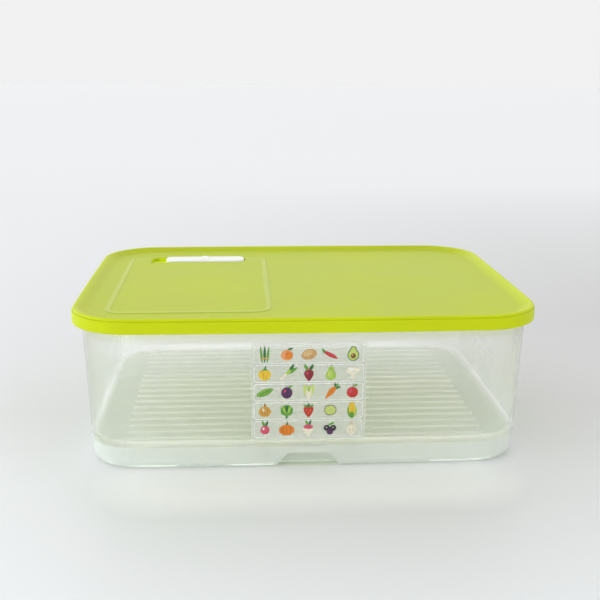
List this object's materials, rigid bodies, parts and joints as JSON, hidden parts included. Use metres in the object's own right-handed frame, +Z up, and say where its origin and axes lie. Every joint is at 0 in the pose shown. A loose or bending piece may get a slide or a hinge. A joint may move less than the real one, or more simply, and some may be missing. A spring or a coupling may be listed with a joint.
{
  "type": "produce storage bin",
  "caption": "Low clear rectangular food keeper with a ribbed raised floor and a lime lift-off lid that has a sliding air vent.",
  "frame": {"origin": "on the table, under the middle of the closed bin", "axes": "+X along the long side, with the vent towards -X; +Y from the printed front wall to the rear; +Z up"},
  "size_m": [0.3818, 0.2938, 0.13],
  "materials": {
    "clear_polypropylene": "clear, slightly milky, smooth",
    "printed_film": "clear film with small printed produce",
    "lime_polyethylene": "soft satin",
    "white_plastic": "smooth white",
    "pad_elastomer": "soft matt"
  },
  "bodies": {
    "bin": {"bin_body": "clear_polypropylene", "produce_print": "printed_film"},
    "lid": {"lid": "lime_polyethylene"},
    "vent": {"vent_slider": "white_plastic", "vent_seal_pads": "pad_elastomer", "vent_keeper": "white_plastic"}
  },
  "joints": [
    {"name": "lid_lift", "type": "slide", "parent": "bin", "child": "lid", "axis": [0, 0, 1], "range_m": [0, 0.08]},
    {"name": "vent_slide", "type": "slide", "parent": "lid", "child": "vent", "axis": [-1, 0, 0], "range_m": [0, 0.014]}
  ]
}
